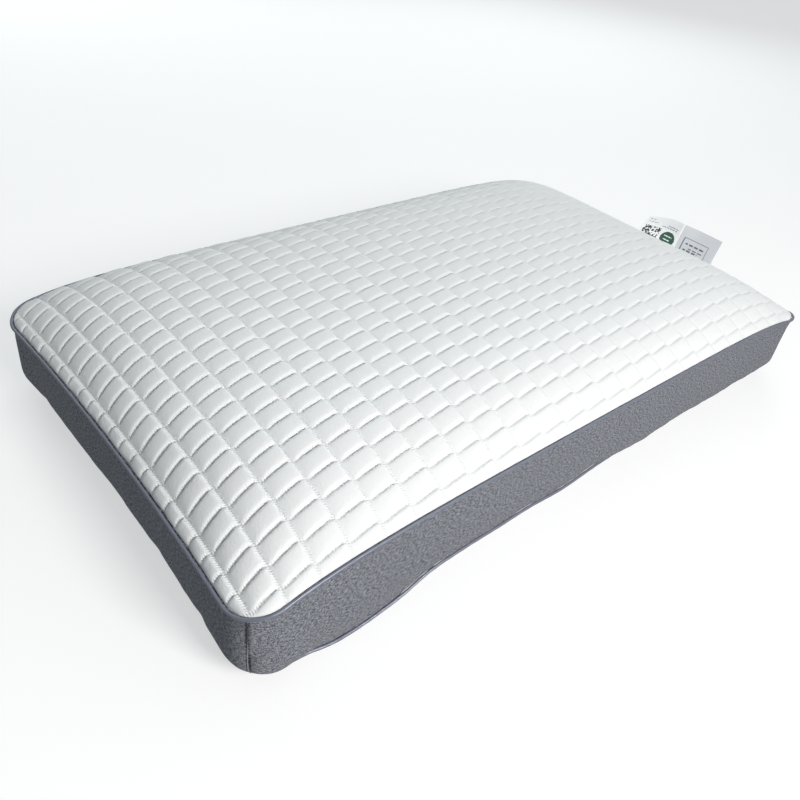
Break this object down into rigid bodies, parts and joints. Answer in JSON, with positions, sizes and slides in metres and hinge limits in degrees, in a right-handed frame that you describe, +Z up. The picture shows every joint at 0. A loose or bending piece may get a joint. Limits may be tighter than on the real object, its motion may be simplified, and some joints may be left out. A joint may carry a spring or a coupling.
{
  "type": "bed pillow",
  "caption": "Rectangular memory foam bed pillow with a quilted white cover, grey side gussets, piped seams and a zip at the back.",
  "frame": {"origin": "middle of the flat rest face on the underside", "axes": "+X along the long sides towards the end with the labels, -Y towards the front, +Y towards the zip, +Z up"},
  "size_m": [0.7197, 0.4019, 0.1194],
  "materials": {
    "foam": "open-cell memory foam, stored as fabric",
    "inner_knit": "thin plain knit",
    "white_quilt": "quilted knit, matt",
    "grey_melange": "grey melange weave, matt",
    "silver_satin": "satin",
    "piping_cord": "twisted cotton",
    "zip_tape": "woven tape",
    "zip_coil": "nylon monofilament",
    "zip_metal": "pressed",
    "zip_painted": "painted die casting",
    "label_satin": "printed satin"
  },
  "bodies": {
    "cover": {"foam_core": "foam", "inner_cover_upper": "inner_knit", "inner_cover_lower": "inner_knit", "top_panel": "white_quilt", "bottom_panel": "white_quilt", "gusset_front": "grey_melange", "gusset_left": "grey_melange", "gusset_right": "grey_melange", "gusset_back_upper": "grey_melange", "gusset_back_lower": "grey_melange", "top_piping_cover": "silver_satin", "top_piping_cord": "piping_cord", "bottom_piping_cover": "silver_satin", "bottom_piping_cord": "piping_cord", "zip_tape_upper": "zip_tape", "zip_tape_lower": "zip_tape", "zip_coil_upper": "zip_coil", "zip_coil_lower": "zip_coil", "zip_end_stops": "zip_metal", "care_label": "label_satin", "plain_label": "label_satin"},
    "zip_slider": {"zip_slider": "zip_painted"},
    "zip_pull": {"zip_pull": "zip_painted"}
  },
  "joints": [
    {"name": "zip_slide", "type": "slide", "parent": "cover", "child": "zip_slider", "axis": [-1, 0, 0], "range_m": [0, 0.516]},
    {"name": "pull_hinge", "type": "hinge", "parent": "zip_slider", "child": "zip_pull", "pos_m": [0.258, 0.2015, 0.052], "axis": [1, 0, 0], "range_deg": [-4, 184]}
  ]
}
